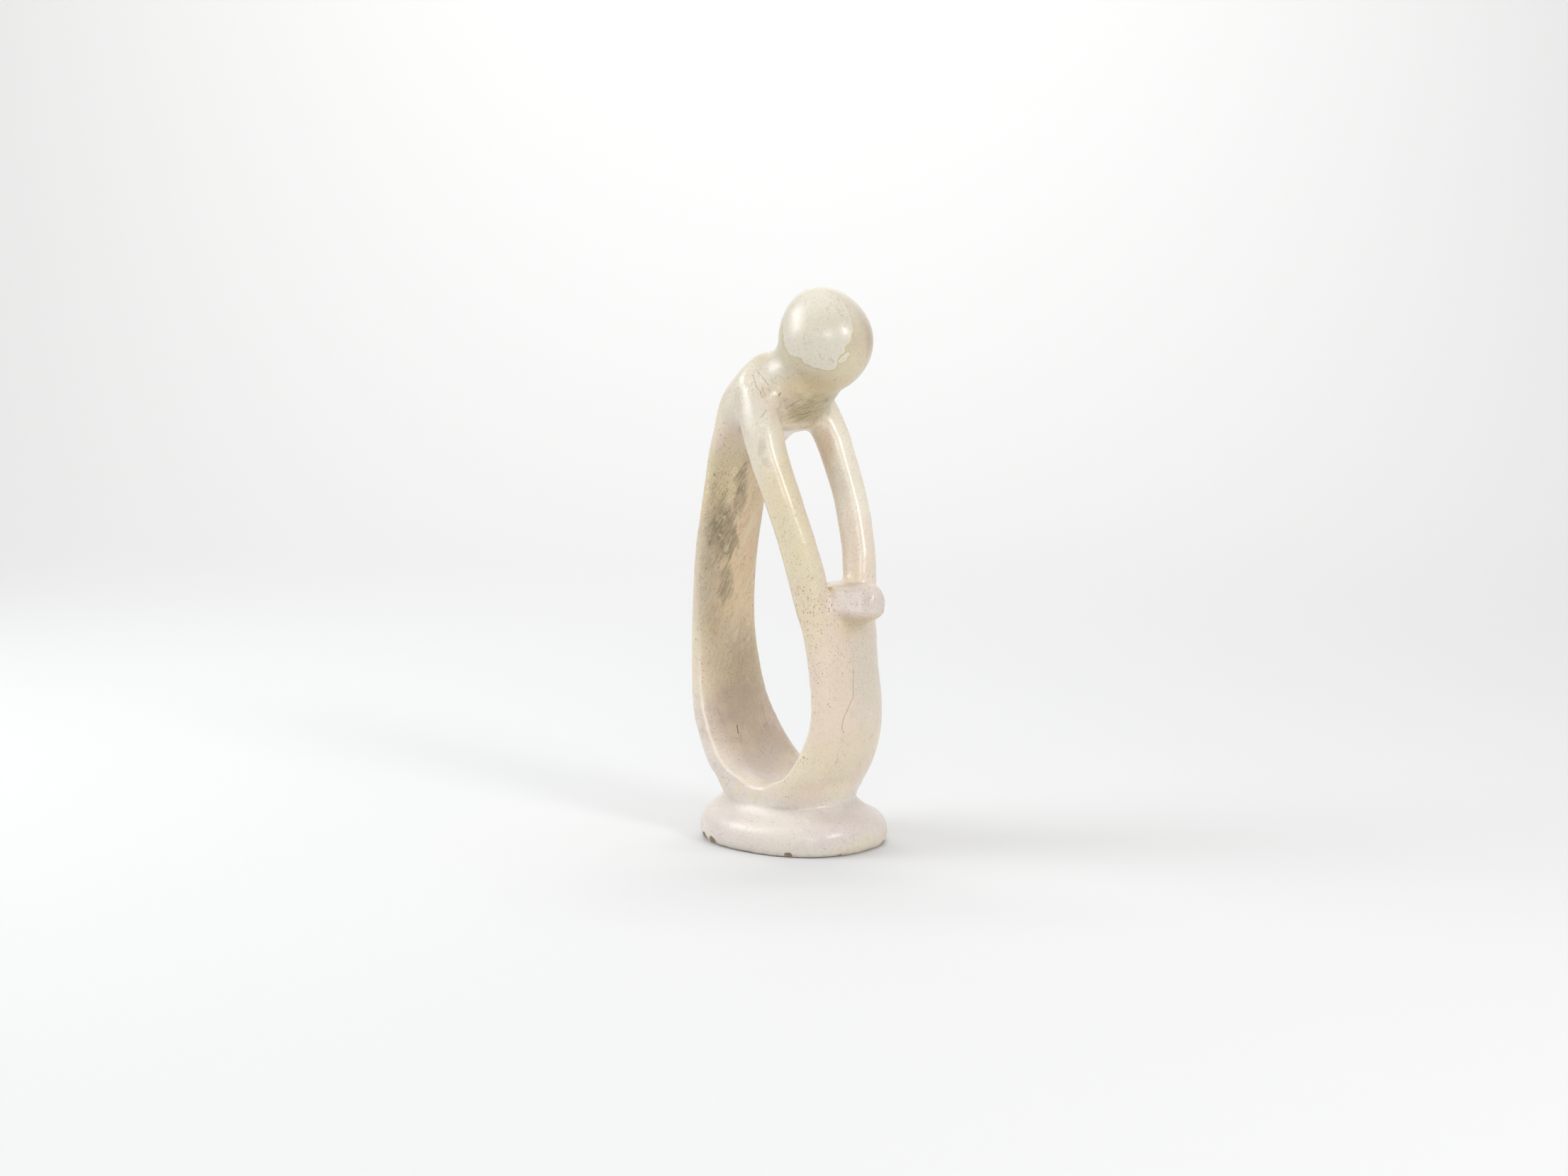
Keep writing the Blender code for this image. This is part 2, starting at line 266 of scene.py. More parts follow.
# %% [markdown]
# The limbs aren't round bars: the rasp left long flats that meet in soft ridges, and on polished stone
# each ridge carries a line of light. A ridge is raised along a line of points, highest on the line
# and fading away from it, with a crest that the cloth has rounded. A step is a ridge that is raised
# on one side only.

# %% Ridges along the limbs
RIDGES = {
    # name: points, height, reach, and the way its raised side faces if it is a step
    "near_arm": (
        [(-26.0, -1.0, 196.0), (-29.7, -9.8, 184.3), (-30.5, -12.3, 175.8), (-30.0, -16.2, 166.2),
         (-29.3, -19.3, 158.6), (-27.7, -22.9, 149.0), (-25.4, -26.0, 140.4), (-23.6, -28.1, 133.6)],
        0.55, 2.8, None),
    "near_arm_back": (
        [(-29.8, 6.5, 196.7), (-31.8, 2.0, 186.9), (-32.7, -2.3, 177.5), (-32.5, -6.0, 166.0)],
        0.30, 2.6, None),
    "far_arm": (
        [(22.0, -9.0, 188.1), (21.9, -11.3, 181.0), (20.9, -13.6, 173.0), (20.2, -16.5, 165.1),
         (20.1, -20.0, 156.2), (20.2, -23.0, 148.3), (19.8, -25.9, 139.4), (19.3, -28.1, 131.6),
         (17.0, -29.5, 123.8)],
        0.50, 2.8, None),
    "far_arm_outside": (
        [(30.0, -4.0, 188.0), (31.4, -10.0, 174.0), (30.6, -17.0, 158.0), (28.0, -24.0, 140.0)],
        0.35, 2.4, None),
    "near_shoulder": (
        [(-16.5, -1.2, 215.3), (-18.6, -4.4, 209.1), (-20.0, -5.6, 202.9), (-19.9, -6.7, 195.2)],
        0.25, 2.6, None),
    "far_shoulder": (
        [(16.5, -1.2, 215.3), (18.6, -4.4, 209.1), (20.0, -5.6, 202.9), (19.9, -6.7, 195.2)],
        0.25, 2.6, None),
    "hands_top": (
        [(-14.0, -28.0, 117.5), (-4.9, -33.0, 118.6), (-3.0, -39.5, 119.4), (3.0, -42.5, 119.0),
         (10.0, -38.0, 118.5)],
        0.35, 1.4, None),
    "hands_under": (
        [(-7.1, -36.3, 104.1), (-3.0, -37.5, 101.6), (2.0, -37.5, 100.9), (7.0, -37.0, 102.5)],
        0.45, 1.5, None),
    "shins": (
        [(-2.1, -34.6, 99.1), (-2.2, -34.8, 91.5), (-3.6, -35.6, 85.4), (-4.2, -36.6, 78.3)],
        0.40, 3.0, (-1, 0, 0)),
    "plinth_front": (
        [(-16.5, -36.6, 6.0), (-8.0, -40.5, 6.2), (4.0, -42.5, 7.0), (14.0, -40.0, 8.2)],
        0.40, 2.0, None),
    "spine": (
        [(0.0, 40.0, 178.0), (0.0, 45.0, 150.0), (0.0, 47.5, 120.0), (0.0, 46.0, 90.0)],
        0.30, 5.0, None),
}
STEP_EDGE = 0.35
END_FADE = 0.35
CREST = 2.8
BOX_REACH = 3
LINE_REACH = 4


def on_line(point, points):
    """The distance to a line of points, the nearest point on it, and its share of the way along."""
    best = (math.inf, None, 0)
    for index, (start, end) in enumerate(zip(points, points[1:])):
        run = end - start
        share = min(1.0, max(0.0, (point - start).dot(run) / run.length_squared))
        place = start + run * share
        distance = (point - place).length
        if distance < best[0]:
            best = (distance, place, (index + share) / (len(points) - 1))
    return best


for points, height, reach, raised_side in RIDGES.values():
    line = [Vector(point) for point in points]
    low_corner = [min(point[axis] for point in line) - BOX_REACH * reach for axis in range(3)]
    high_corner = [max(point[axis] for point in line) + BOX_REACH * reach for axis in range(3)]
    for vert in stone.verts:
        place = vert.co / MM
        if not all(low < part < high for low, part, high in zip(low_corner, place, high_corner)):
            continue
        distance, nearest, along_line = on_line(place, line)
        if distance > LINE_REACH * reach:
            continue
        from_crest = math.hypot(distance, CREST) - CREST
        fade = ramp(math.sin(math.pi * along_line), 0, END_FADE)
        lifted = height * math.exp(-from_crest / reach) * fade
        if raised_side:
            sideways = (place - nearest).dot(Vector(raised_side))
            lifted *= ramp(sideways, -STEP_EDGE, STEP_EDGE)
        vert.co += vert.normal * lifted * MM
stone.normal_update()
print(len(RIDGES), "ridges, the highest", max(ridge[1] for ridge in RIDGES.values()), "mm")

# %% [markdown]
# No hand-rubbed surface is perfectly even. Two slow noises, one as wide as a thumb and one as wide as
# a file, move the skin by a tenth of a millimetre, so that the highlights waver along the limbs. The
# head was rubbed smoother than the rest.

# %% The marks of rubbing by hand
THUMB = 15 * MM
FILE = 6 * MM
THUMB_DEPTH = 0.20 * MM
FILE_DEPTH = 0.035 * MM
FILE_SHIFT = Vector((11, 5, 3))
HEAD_CALM = 0.75
HEAD_FROM = (206 * MM, 216 * MM)

for vert in stone.verts:
    wave = noise.noise(vert.co / THUMB) * THUMB_DEPTH
    wave += noise.noise(vert.co / FILE + FILE_SHIFT) * FILE_DEPTH
    vert.co += vert.normal * wave * (1 - HEAD_CALM * ramp(vert.co.z, *HEAD_FROM))
stone.normal_update()
print("the skin waves by up to", round(THUMB_DEPTH / MM, 2), "mm")

# %% [markdown]
# The fine carving needs smaller faces than the rest, so its places are listed before it is made: the
# edge of the pale layer on the head, the cracks and scratches, the pits, and the chips along the
# plinth's lower edge. They are given in millimetres, where they lie on the stone.

# %% The places of the fine carving
HEAD_CENTRE = Vector((0, -18.1, 226.0))
ACROSS = Vector((math.cos(HEADING), -math.sin(HEADING), 0))
NEARER = Vector((-math.sin(HEADING), -math.cos(HEADING), 0))

# The pale layer's outline: millimetres across and up from the head's centre, as the camera sees it
LAYER_OUTLINE = [
    (-18.6, 2.0), (-17.8, -2.6), (-15.0, -6.6), (-10.6, -7.6), (-8.7, -10.4), (-4.4, -12.0),
    (0.6, -12.9), (3.2, -12.4), (4.4, -9.6), (4.9, -7.6), (7.4, -4.8), (7.9, -2.4), (10.2, -0.4),
    (11.2, 3.2), (10.8, 8.4), (9.2, 12.6), (7.2, 16.2), (3.0, 20.4), (-3.2, 22.4), (-10.0, 19.6),
    (-16.0, 12.8), (-18.6, 7.0),
]
FLAKE_OUTLINE = [(5.2, -9.2), (7.2, -6.6), (9.6, -5.2), (10.0, -6.4), (8.2, -8.2), (6.2, -9.8)]

# Cracks and scratches: points, width, depth and how dark they are
MARKS = {
    "shin_crack": (
        [(-2.6, -36.2, 81.2), (-5.3, -37.5, 72.5), (-5.1, -37.9, 69.4), (-7.6, -38.0, 67.2),
         (-11.3, -37.9, 62.3), (-13.0, -37.6, 59.0), (-13.3, -37.4, 56.5), (-12.2, -37.3, 54.5)],
        0.34, 0.16, 0.55),
    "bowl_scratch": (
        [(-7.1, 27.5, 49.7), (-7.6, 25.6, 46.4)], 0.50, 0.12, 1.0),
    "bowl_hairline": (
        [(-15.6, 31.8, 58.0), (-15.7, 30.3, 54.6), (-15.0, 28.3, 50.8)], 0.26, 0.06, 0.4),
    "bowl_wriggle": (
        [(15.0, 31.0, 56.1), (14.3, 28.6, 51.5), (14.2, 26.7, 48.2), (10.9, 25.8, 46.7)],
        0.28, 0.07, 0.45),
    "arm_scratch": (
        [(-27.4, -5.8, 195.8), (-29.6, -5.7, 193.2), (-31.8, -4.3, 189.1)], 0.30, 0.07, 0.6),
    "collar_nick": (
        [(-18.3, -6.9, 203.7), (-19.1, -6.3, 201.9)], 0.42, 0.05, 0.9),
    "shoulder_line": (
        [(-22.1, 5.7, 211.3), (-24.7, 1.4, 206.6), (-25.3, -2.2, 203.1)], 0.40, 0.05, 0.45),
    "shoulder_curl": (
        [(-19.9, 5.3, 213.1), (-20.7, 0.7, 209.5), (-21.6, -2.3, 206.6)], 0.36, 0.05, 0.4),
    "chest_line": (
        [(-15.2, -7.8, 196.5), (-13.4, -11.8, 199.5), (-11.8, -14.2, 200.7)], 0.40, 0.05, 0.5),
    "chest_scratch": (
        [(-8.3, -8.5, 192.2), (-5.8, -12.7, 194.7), (-5.8, -15.7, 197.7)], 0.34, 0.06, 0.5),
    "back_dash": (
        [(-20.1, 30.4, 166.0), (-18.6, 29.5, 166.0)], 0.40, 0.10, 0.8),
    "nape_line": (
        [(8.0, 18.5, 214.0), (3.5, 20.5, 211.0), (1.0, 24.5, 205.5)], 0.34, 0.06, 0.45),
    "back_crack": (
        [(6.0, 49.0, 118.0), (3.8, 49.0, 108.5), (4.6, 49.2, 101.0), (1.8, 49.2, 92.0)],
        0.34, 0.13, 0.5),
    "far_arm_scratch": (
        [(31.6, -9.5, 176.0), (31.8, -13.0, 168.5), (31.2, -15.0, 161.5)], 0.30, 0.07, 0.5),
}

# Where the stone is pitted: centre, reach and number of pits
PITTED = [
    ((-27.3, -23.6, 122.0), 9, 7), ((-23.2, -30.2, 112.7), 10, 18), ((-25.1, -23.9, 103.1), 10, 13),
    ((-20.0, -31.6, 106.3), 9, 14), ((-17.9, -34.0, 81.3), 13, 12), ((-21.9, -33.1, 69.2), 8, 5),
    ((-23.2, -30.3, 42.3), 6, 6), ((-21.0, 38.0, 82.0), 13, 9), ((-18.4, 21.7, 179.0), 11, 7),
    ((-28.8, -22.8, 145.1), 9, 3), ((24.0, -30.0, 110.0), 14, 18), ((20.0, 40.0, 96.0), 14, 9),
    ((0.0, 49.0, 120.0), 24, 10), ((24.0, -32.0, 66.0), 12, 7), ((0.0, 30.0, 205.0), 20, 6),
]
SCATTERED_PITS = 36
PIT_SEED = 7

# Chips out of the plinth's lower edge: a place, the way it faces, the scoop's radius and its depth
CHIPS = [
    ((-28.6, 27.5, 2.6), (-0.72, 0.30, -0.62), 4.6, 1.5),
    ((-32.6, 21.5, 1.4), (-0.80, 0.12, -0.58), 7.0, 0.8),
    ((-32.6, -22.2, 0.6), (-0.66, -0.40, -0.64), 2.2, 1.1),
    ((-17.0, -39.0, 0.3), (-0.35, -0.62, -0.70), 5.0, 0.25),
    ((12.6, -41.0, 0.5), (0.30, -0.72, -0.62), 3.4, 0.8),
    ((30.4, 24.8, 0.6), (0.66, 0.48, -0.58), 4.6, 1.1),
    ((35.0, -12.0, 0.4), (0.80, -0.20, -0.56), 6.0, 0.7),
    ((6.0, 46.0, 0.5), (0.10, 0.74, -0.66), 4.2, 0.9),
]
CHIP_ROUGHNESS = 0.22

pit_count = sum(area[2] for area in PITTED) + SCATTERED_PITS
print(len(MARKS), "marks,", len(CHIPS), "chips and", pit_count, "pits at most")

# %% [markdown]
# Each place becomes a cloud of sample points in a search tree. A face near a sample is split in four,
# twice over, and the new points are rubbed so that they follow the curve and not the old flat face.
# The noise that tears the pale layer's edge starts from a set number, so that every run tears it alike.

# %% Finding the edge of the pale layer
LAYER_RAG = ((1.9, 0.55), (0.7, 0.22))
LAYER_SEED = 5
BELOW_HEAD = -20
noise.seed_set(LAYER_SEED)


def distance_inside(points, outline):
    """How far each flat point lies inside a closed outline. It is negative outside."""
    starts = np.array(outline)
    ends = np.roll(starts, -1, axis=0)
    nearest = np.full(len(points), np.inf)
    inside = np.zeros(len(points), bool)
    for start, end in zip(starts, ends):
        run = end - start
        share = np.clip(((points - start) @ run) / (run @ run), 0, 1)
        nearest = np.minimum(nearest, np.linalg.norm(points - start - share[:, None] * run, axis=1))
        spans = (start[1] > points[:, 1]) != (end[1] > points[:, 1])
        if run[1]:
            crossing = start[0] + (points[:, 1] - start[1]) * run[0] / run[1]
            inside ^= spans & (points[:, 0] < crossing)
    return np.where(inside, nearest, -nearest)


def layer_distances(verts, outline):
    """The distance inside an outline on the head for each vertex, made ragged by two noises."""
    flat = np.zeros((len(verts), 2))
    on_side = np.zeros(len(verts), bool)
    for index, vert in enumerate(verts):
        from_centre = vert.co / MM - HEAD_CENTRE
        if from_centre.z < BELOW_HEAD or from_centre.dot(NEARER) < 0:
            continue
        on_side[index] = True
        ragged = Vector((from_centre.dot(ACROSS), from_centre.z, 0))
        for size, reach in LAYER_RAG:
            ragged += noise.noise_vector(vert.co / MM / size) * reach
        flat[index] = ragged[:2]
    distances = np.full(len(verts), -np.inf)
    distances[on_side] = distance_inside(flat[on_side], outline)
    return distances


print("the pale layer's outline has", len(LAYER_OUTLINE), "corners")

# %% The search trees
MARK_STEP = 0.2
EDGE_BAND = 1.0
LEAN = 0.7


def search_tree(points):
    tree = kdtree.KDTree(len(points))
    for index, point in enumerate(points):
        tree.insert(point, index)
    tree.balance()
    return tree


def along(points, step):
    """Points every step of the way along a line of points."""
    samples = []
    for start, end in zip(points, points[1:]):
        start, end = Vector(start), Vector(end)
        count = max(1, math.ceil((end - start).length / step))
        samples += [start.lerp(end, i / count) for i in range(count)]
    return [*samples, Vector(points[-1])]


chance = random.Random(PIT_SEED)
skin_tree = search_tree([vert.co for vert in stone.verts])
stone.verts.ensure_lookup_table()


def on_skin(point):
    """The nearest point of the skin, in metres, to a point in millimetres."""
    return skin_tree.find(Vector(point) * MM)[0]


mark_samples, mark_names = [], []
for name, (points, *_) in MARKS.items():
    for sample in along([on_skin(point) / MM for point in points], MARK_STEP):
        mark_samples.append(sample * MM)
        mark_names.append(name)
mark_tree = search_tree(mark_samples)

PIT_LENGTH = (0.34, 0.72)
PIT_WIDTH = (0.20, 0.29)
PIT_DEPTH = (0.07, 0.14)
pits = []


def add_pit(vert):
    """One pit at this vertex: its place, its two half axes as divisors, and its depth."""
    lean = Vector((chance.uniform(-LEAN, LEAN), chance.uniform(-LEAN, LEAN), 1))
    length_way = (lean - vert.normal * lean.dot(vert.normal)).normalized()
    width_way = length_way.cross(vert.normal)
    length, width, depth = (chance.uniform(*span) * MM for span in (PIT_LENGTH, PIT_WIDTH, PIT_DEPTH))
    pits.append((vert.co.copy(), length_way / length, width_way / width, depth))


for centre, reach, count in PITTED:
    near = skin_tree.find_range(Vector(centre) * MM, reach * MM)
    for _, index, _ in chance.sample(near, min(count, len(near))):
        add_pit(stone.verts[index])
for vert in chance.sample(list(stone.verts), SCATTERED_PITS):
    if vert.co.z > MM:
        add_pit(vert)
pit_tree = search_tree([pit[0] for pit in pits])

edge_samples = []
for outline in (LAYER_OUTLINE, FLAKE_OUTLINE):
    distances = layer_distances(stone.verts, outline)
    edge_samples += [vert.co.copy() for vert, d in zip(stone.verts, distances) if abs(d) < EDGE_BAND]
edge_tree = search_tree(edge_samples)
chip_tree = search_tree([on_skin(place) for place, *_ in CHIPS])
print(len(pits), "pits and", len(mark_samples), "samples along the marks")

# %% Splitting the faces there
PLINTH_EDGE_TOP = 4.5 * MM
PIT_REACH = (1.0 * MM, 0.65 * MM)
MARK_REACH = (1.0 * MM, 0.6 * MM)
LAYER_REACH = (1.3 * MM, 1.0 * MM)
CHIP_SPLIT = 1.25
UNDERSIDE = 0.05 * MM


def needs_splitting(middle, level):
    """Whether the face with this middle is split, in the first round or the second."""
    if pit_tree.find(middle)[2] < PIT_REACH[level]:
        return True
    if mark_tree.find(middle)[2] < MARK_REACH[level]:
        return True
    if edge_tree.find(middle)[2] < LAYER_REACH[level]:
        return True
    if UNDERSIDE < middle.z < PLINTH_EDGE_TOP:
        if level == 0:
            return True
        _, index, distance = chip_tree.find(middle)
        return distance < CHIP_SPLIT * CHIPS[index][2] * MM
    return False


for level in range(2):
    chosen = [face for face in stone.faces if needs_splitting(face.calc_center_median(), level)]
    edges = list(dict.fromkeys(edge for face in chosen for edge in face.edges))
    split = bmesh.ops.subdivide_edges(stone, edges=edges, cuts=1, use_grid_fill=True)
    rub(stone, [item for item in split["geom"] if isinstance(item, bmesh.types.BMVert)], SPLIT_ROUNDS)
stone.normal_update()
print("the skin now has", sum(len(face.verts) - 2 for face in stone.faces), "triangles")

# %% [markdown]
# Now the carving itself. A pit is a small lens, longer than wide and set on end. A crack is a groove
# along its samples. The pale layer stands a fraction of a millimetre above the stone round it, and
# grows faint towards the top of the head. What was cut is also written to attributes, so that the
# colours can follow it exactly. Two of them hold painted light: a painted highlight along the pale
# layer's edge, and a painted shadow just below it.

# %% Cutting the pits, the cracks and the pale layer
LAYER_LIFT = 0.20
LAYER_SLOPE = 0.22
FAINT_ABOVE = (1.0, 9.0)
FAINTEST = 0.75
GROOVE_FLOOR = 0.2
LIP = (0.1, 0.3)
LIP_SHADOW_BAND = (-0.45, 0.4)

pit_colour = stone.verts.layers.float.new("pit")
mark_colour = stone.verts.layers.float.new("mark")
layer_colour = stone.verts.layers.float.new("layer")
# These two are painted light: a painted highlight along the pale layer's edge, and a painted shadow
# just below it.
painted_lip_highlight = stone.verts.layers.float.new("lip")
painted_shadow_under_lip = stone.verts.layers.float.new("painted_shadow_under_lip")

for vert in stone.verts:
    sunk = 0.0
    for _, index, _ in pit_tree.find_range(vert.co, PIT_LENGTH[1] * MM):
        place, along_it, across_it, depth = pits[index]
        away = vert.co - place
        spread = away.dot(along_it) ** 2 + away.dot(across_it) ** 2
        if spread < 1:
            sunk = max(sunk, depth * (1 - spread))
            vert[pit_colour] = max(vert[pit_colour], 1 - spread ** 2)
    _, index, distance = mark_tree.find(vert.co)
    _, width, depth, darkness = MARKS[mark_names[index]]
    if distance < width * MM:
        groove = 1 - ramp(distance, GROOVE_FLOOR * width * MM, width * MM)
        sunk = max(sunk, depth * MM * groove)
        vert[mark_colour] = darkness * groove
    vert.co -= vert.normal * sunk

lift = np.zeros(len(stone.verts))
for outline, height in ((LAYER_OUTLINE, LAYER_LIFT), (FLAKE_OUTLINE, 0.5 * LAYER_LIFT)):
    distances = layer_distances(stone.verts, outline)
    for index, (vert, distance) in enumerate(zip(stone.verts, distances)):
        if distance > -EDGE_BAND:
            above = vert.co.z / MM - HEAD_CENTRE.z
            crisp = 1 - FAINTEST * ramp(above, *FAINT_ABOVE)
            inside = ramp(distance, -LAYER_SLOPE, LAYER_SLOPE)
            lift[index] = max(lift[index], height * crisp * inside)
            vert[layer_colour] = max(vert[layer_colour], inside * (0.35 + 0.65 * crisp))
            vert[painted_lip_highlight] = max(vert[painted_lip_highlight], crisp * bell(distance, *LIP))
            vert[painted_shadow_under_lip] = max(vert[painted_shadow_under_lip], crisp * bell(distance, *LIP_SHADOW_BAND))
for vert, height in zip(stone.verts, lift):
    vert.co += vert.normal * height * MM
stone.normal_update()
print("the deepest pit is", round(max(pit[3] for pit in pits) / MM, 2), "mm deep")

# %% [markdown]
# A chip is what a sphere would scoop out of the edge: a point inside the sphere moves straight away
# from its centre until it lies on it. A little noise roughens the broken face, and an attribute
# remembers where it is.

# %% Chipping the plinth
ROUGH_FINE = 1.1 * MM
ROUGH_BROAD = 3.0 * MM
BROKEN_EDGE = 0.12 * MM

broken = stone.verts.layers.float.new("broken")
scoops = []
for place, facing, radius, depth in CHIPS:
    out = Vector(facing).normalized() * (radius - depth) * MM
    scoops.append((on_skin(place) + out, radius * MM))
for vert in stone.verts:
    if vert.co.z > 2 * PLINTH_EDGE_TOP:
        continue
    for centre, radius in scoops:
        away = vert.co - centre
        wobble = noise.noise(vert.co / ROUGH_FINE) * CHIP_ROUGHNESS * MM
        wobble += noise.noise(vert.co / ROUGH_BROAD) * 2 * CHIP_ROUGHNESS * MM
        short = radius + wobble - away.length
        if short > 0:
            vert.co += away.normalized() * short
            vert[broken] = max(vert[broken], ramp(short, 0, BROKEN_EDGE))

for vert in stone.verts:
    vert.co.z = max(0.0, vert.co.z)
stone.normal_update()
print(sum(vert[broken] > 0.5 for vert in stone.verts), "points lie on broken faces")

# %% The skin's object
stone.to_mesh(skin)
stone.free()
skin.shade_smooth()
figure = bpy.data.objects.new("carved_figure", skin)
bpy.context.scene.collection.objects.link(figure)
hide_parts("figure")
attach(figure, "root")
skin.calc_loop_triangles()
print("the carved figure has", len(skin.loop_triangles), "triangles")

# %% [markdown]
# A stone's colour is many thin layers of paint. Each layer is a mask and a tint. So that a mask can be
# written as a line of Python, a small class wraps a socket and turns +, - and * into Math nodes.

# %% Shader maths in Python
class Value:
    """A number that changes over the stone. Python's operators on it add Math nodes."""

    def __init__(self, finish, socket):
        self.finish = finish
        self.socket = socket

    def maths(self, operation, first, second):
        node = self.finish.add("ShaderNodeMath", {"operation": operation}, {0: first, 1: second})
        return Value(self.finish, node.outputs[0])

    def __add__(self, other):
        return self.maths("ADD", self, other)

    def __sub__(self, other):
        return self.maths("SUBTRACT", self, other)

    def __rsub__(self, other):
        return self.maths("SUBTRACT", other, self)

    def __mul__(self, other):
        return self.maths("MULTIPLY", self, other)

    def __abs__(self):
        return self.maths("ABSOLUTE", self, 0)

    def either(self, other):
        """The larger of two masks."""
        return self.maths("MAXIMUM", self, other)

    def ramp(self, low, high):
        """0 at low, 1 at high and a smooth curve between them. It falls where high is the lower."""
        inputs = {"Value": self, "From Min": low, "From Max": high}
        node = self.finish.add("ShaderNodeMapRange", {"interpolation_type": "SMOOTHSTEP"}, inputs)
        return Value(self.finish, node.outputs["Result"])

    __radd__ = __add__
    __rmul__ = __mul__


# %% One material's nodes
class Finish:
    """The nodes of one material. Places in it are in millimetres."""

    def __init__(self, name):
        self.material = bpy.data.materials.new(name)
        self.material.use_nodes = True
        self.tree = self.material.node_tree
        self.shader = self.tree.nodes["Principled BSDF"]
        metres = self.add("ShaderNodeTexCoord").outputs["Object"]
        self.place = self.vector("SCALE", metres, Scale=1 / MM).outputs[0]

    def feed(self, socket, value):
        if isinstance(value, Value):
            value = value.socket
        if isinstance(value, bpy.types.NodeSocket):
            self.tree.links.new(value, socket)
        else:
            socket.default_value = value

    def add(self, kind, settings=None, inputs=None):
        node = self.tree.nodes.new(kind)
        for name, value in (settings or {}).items():
            setattr(node, name, value)
        for key, value in (inputs or {}).items():
            self.feed(node.inputs[key], value)
        return node

    def vector(self, operation, *values, **named):
        inputs = {**dict(enumerate(values)), **named}
        return self.add("ShaderNodeVectorMath", {"operation": operation}, inputs)

    def attribute(self, name):
        return Value(self, self.add("ShaderNodeAttribute", {"attribute_name": name}).outputs["Fac"])

    def height(self):
        return Value(self, self.add("ShaderNodeSeparateXYZ", None, {0: self.place}).outputs["Z"])

    def clouds(self, size, detail=3.0, stretch=(1, 1, 1), turn=(0, 0, 0), seed=0.0, swirl=0.0):
        """Noise whose clouds are this many millimetres wide, drawn out by stretch along turned axes."""
        shift = (seed, -seed, 2 * seed)
        moved = {"Vector": self.place, "Location": shift, "Rotation": turn, "Scale": stretch}
        mapped = self.add("ShaderNodeMapping", {"vector_type": "TEXTURE"}, moved).outputs[0]
        inputs = {"Vector": mapped, "Scale": 1 / size, "Detail": detail, "Distortion": swirl}
        return Value(self, self.add("ShaderNodeTexNoise", None, inputs).outputs[0])

    def patch(self, centre, radii, rag=None, edge=0.35):
        """1 inside an ellipsoid and 0 outside. The rag noise tears its edge."""
        away = self.vector("SUBTRACT", self.place, centre).outputs[0]
        scaled = self.vector("DIVIDE", away, radii).outputs[0]
        distance = Value(self, self.vector("LENGTH", scaled).outputs["Value"])
        if rag is not None:
            distance = distance + rag
        return distance.ramp(1 + edge, 1 - edge)

    def mix(self, mask, below, above):
        """The colour below with the colour above laid over it where the mask is."""
        node = self.add("ShaderNodeMix", {"data_type": "RGBA"})
        for index, value in ((0, mask), (6, below), (7, above)):
            self.feed(node.inputs[index], value)
        return node.outputs[2]


def tint(red, green, blue):
    """A colour given as a paint chart gives it, 0 to 255, as the light that Blender works with."""
    parts = [part / 255 for part in (red, green, blue)]
    return (*[c / 12.92 if c < 0.04 else ((c + 0.055) / 1.055) ** 2.4 for c in parts], 1)


# %% [markdown]
# The stone itself: cream, clouded with pink and ochre, greyer at the head and almost white at the
# plinth. Below the shoulders, on the inner face of the back, grey-green streaks run down the stone
# like smoke. The streaks are soft patches, torn by noises that are drawn out along the back.

# %% The tints
CREAM = tint(226, 213, 187)
SHELL_PINK = tint(226, 206, 188)
ROSE = tint(214, 187, 172)
PEACH = tint(212, 182, 152)
YELLOW_CREAM = tint(222, 208, 172)
OCHRE = tint(208, 184, 137)
OLIVE = tint(186, 170, 126)
OLIVE_GREY = tint(197, 186, 157)
SMOKE = tint(138, 125, 97)
STROKE = tint(116, 101, 74)
DOVE_GREY = tint(208, 202, 186)
MAUVE = tint(186, 168, 156)
MAUVE_WHITE = tint(214, 202, 196)
PLINTH_WHITE = tint(222, 213, 204)
PALE_LAYER = tint(220, 214, 200)
IVORY = tint(238, 229, 212)
RUST = tint(146, 60, 40)
INK_GREY = tint(98, 87, 72)
BROKEN_BROWN = tint(150, 124, 92)
PAPER = (0.65, 0.65, 0.645, 1)


def turn_to(direction):
    """The turn that lays a pattern's long way along this direction."""
    return Vector(direction).to_track_quat("Z", "Y").to_euler()


print("cream, as light, is", [round(part, 2) for part in CREAM[:3]])

# %% The soapstone
soapstone = Finish("soapstone")
stone_height = soapstone.height()
rag = (soapstone.clouds(7, detail=4, swirl=0.6) - 0.5) * 1.7
broad = soapstone.clouds(26, detail=2, seed=3)
middle = soapstone.clouds(9, detail=4, seed=5, swirl=0.8)
grain = soapstone.clouds(1.2, detail=3, seed=11)


def cloud(colour, parts):
    """Lays soft-edged patches over a colour, each a tint, a strength, a centre and three radii."""
    for shade, strength, centre, radii in parts:
        colour = soapstone.mix(soapstone.patch(centre, radii, rag, 0.55) * strength, colour, shade)
    return colour


